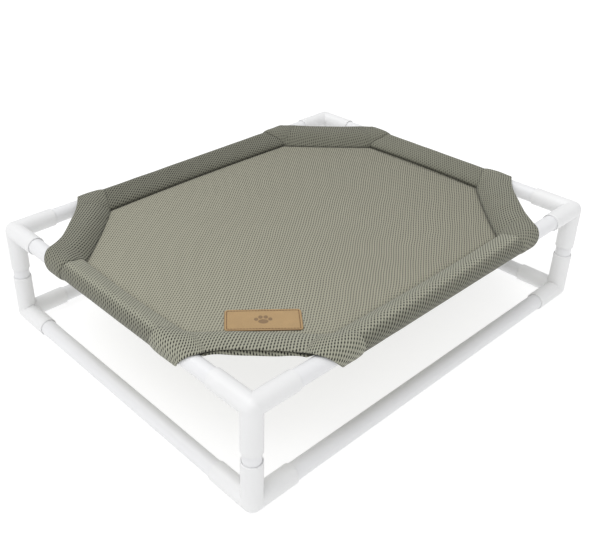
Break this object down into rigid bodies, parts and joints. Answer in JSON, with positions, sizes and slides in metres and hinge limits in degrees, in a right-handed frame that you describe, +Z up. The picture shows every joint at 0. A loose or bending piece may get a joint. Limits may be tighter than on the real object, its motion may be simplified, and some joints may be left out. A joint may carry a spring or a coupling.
{
  "type": "raised dog bed",
  "caption": "Raised dog bed: white push-fit pipe frame with three-way corner fittings, and a stretched mesh deck with cut corners whose sleeves wrap the top rails.",
  "frame": {"origin": "on the floor, under the middle of the bed", "axes": "+X along the long side, +Y from the front long side to the rear one, +Z up"},
  "size_m": [0.747, 0.593, 0.184],
  "materials": {
    "fitting_plastic": "satin injection-moulded white PVC",
    "pipe_plastic": "satin extruded white PVC",
    "panel_mesh": "sage green-grey air mesh, fine pores",
    "band_mesh": "sage green-grey air mesh, open pores",
    "tan_leather": "smooth tan leather, blank, with a stitched border"
  },
  "bodies": {
    "lower_frame": {"corner_bottom_front_left": "fitting_plastic", "corner_bottom_front_right": "fitting_plastic", "corner_bottom_rear_left": "fitting_plastic", "corner_bottom_rear_right": "fitting_plastic", "rail_bottom_front": "pipe_plastic", "rail_bottom_rear": "pipe_plastic", "rail_bottom_left": "pipe_plastic", "rail_bottom_right": "pipe_plastic", "leg_front_left": "pipe_plastic", "leg_front_right": "pipe_plastic", "leg_rear_left": "pipe_plastic", "leg_rear_right": "pipe_plastic"},
    "deck": {"corner_top_front_left": "fitting_plastic", "corner_top_front_right": "fitting_plastic", "corner_top_rear_left": "fitting_plastic", "corner_top_rear_right": "fitting_plastic", "rail_top_front": "pipe_plastic", "rail_top_rear": "pipe_plastic", "rail_top_left": "pipe_plastic", "rail_top_right": "pipe_plastic", "sleeping_panel": "panel_mesh", "sleeve_front": "band_mesh", "sleeve_rear": "band_mesh", "sleeve_left": "band_mesh", "sleeve_right": "band_mesh", "corner_band_front_left": "band_mesh", "corner_band_front_right": "band_mesh", "corner_band_rear_left": "band_mesh", "corner_band_rear_right": "band_mesh", "leather_patch": "tan_leather"}
  },
  "joints": [
    {"name": "deck_lift", "type": "slide", "parent": "lower_frame", "child": "deck", "axis": [0, 0, 1], "range_m": [0, 0.049]}
  ]
}
